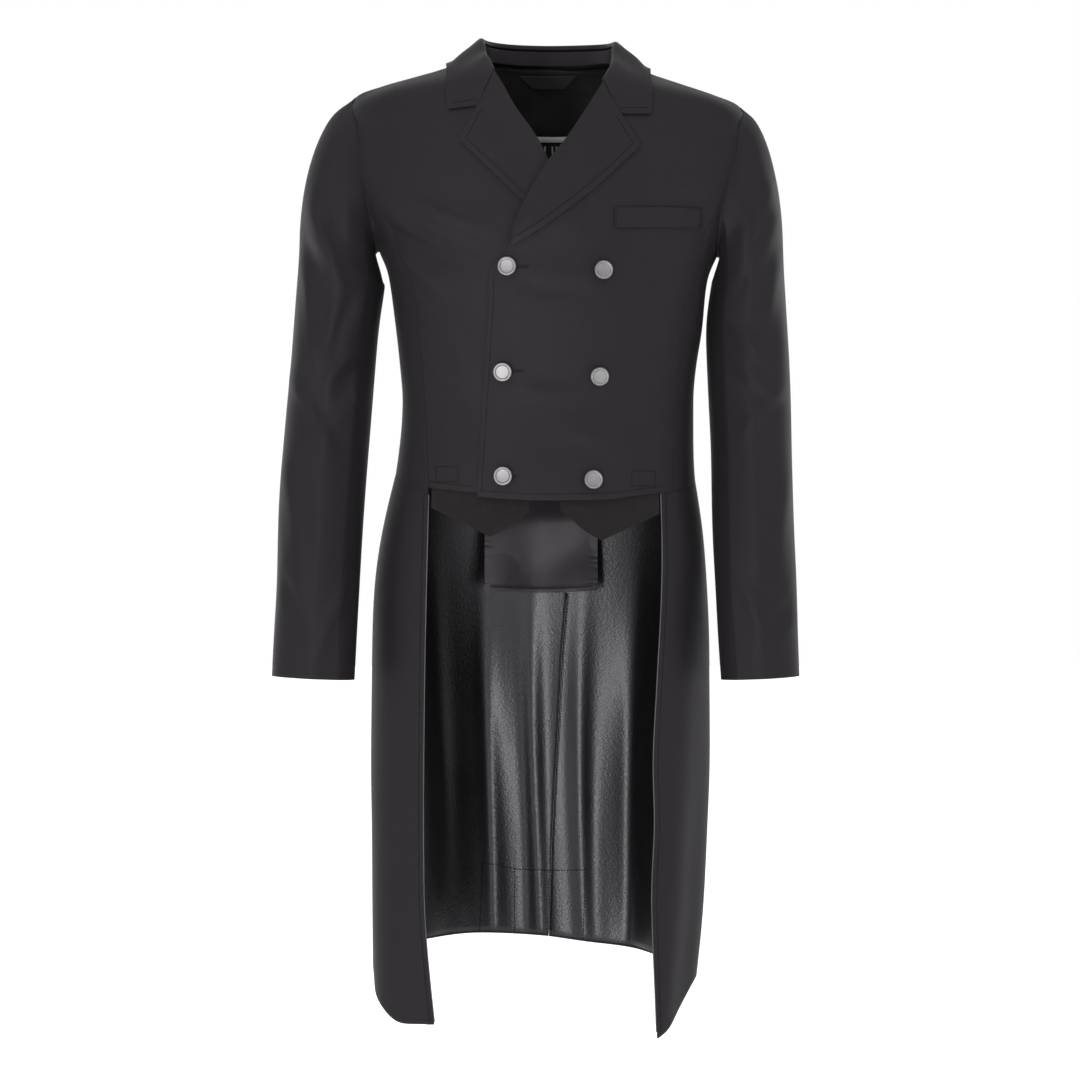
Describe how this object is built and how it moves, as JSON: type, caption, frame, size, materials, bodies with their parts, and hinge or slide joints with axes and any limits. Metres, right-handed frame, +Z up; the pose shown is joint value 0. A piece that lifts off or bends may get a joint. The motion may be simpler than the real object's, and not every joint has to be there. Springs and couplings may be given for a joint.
{
  "type": "tailcoat",
  "caption": "Tailcoat in its worn shape: short double-breasted front, notched collar, two-piece sleeves and long lined tails, open at neck, cuffs and hem",
  "frame": {"origin": "Base of the neck on the wearer's centre line, level with the shoulders, where the coat hangs on its wearer", "axes": "+Z up, +X towards the wearer's left, -Y towards the front of the coat"},
  "size_m": [0.5736, 0.2818, 1.095],
  "materials": {
    "twill": "fine black twill with a slight sheen",
    "lining": "smooth black lining",
    "leather_lining": "soft black leather with fine grain",
    "felt": "matte black felt",
    "satin": "dark grey satin",
    "button_metal": "dark pewter, polished on the rim"
  },
  "bodies": {
    "root": {"front_left": "twill", "front_right": "twill", "side_left": "twill", "side_right": "twill", "back_left": "twill", "back_right": "twill", "sleeve_top_left": "twill", "sleeve_top_right": "twill", "sleeve_under_left": "twill", "sleeve_under_right": "twill", "lapel_left": "twill", "lapel_right": "twill", "collar": "twill", "collar_stand": "twill", "breast_welt": "twill", "tail_left": "twill", "tail_right": "twill", "tail_lining_left": "leather_lining", "tail_lining_right": "leather_lining", "waist_point_left": "felt", "waist_point_right": "felt", "lining_flap": "satin", "neck_facing": "lining", "back_lining": "lining", "neck_label": "lining", "button_1": "button_metal", "button_2": "button_metal", "button_3": "button_metal", "button_4": "button_metal", "button_5": "button_metal", "button_6": "button_metal"}
  },
  "joints": []
}
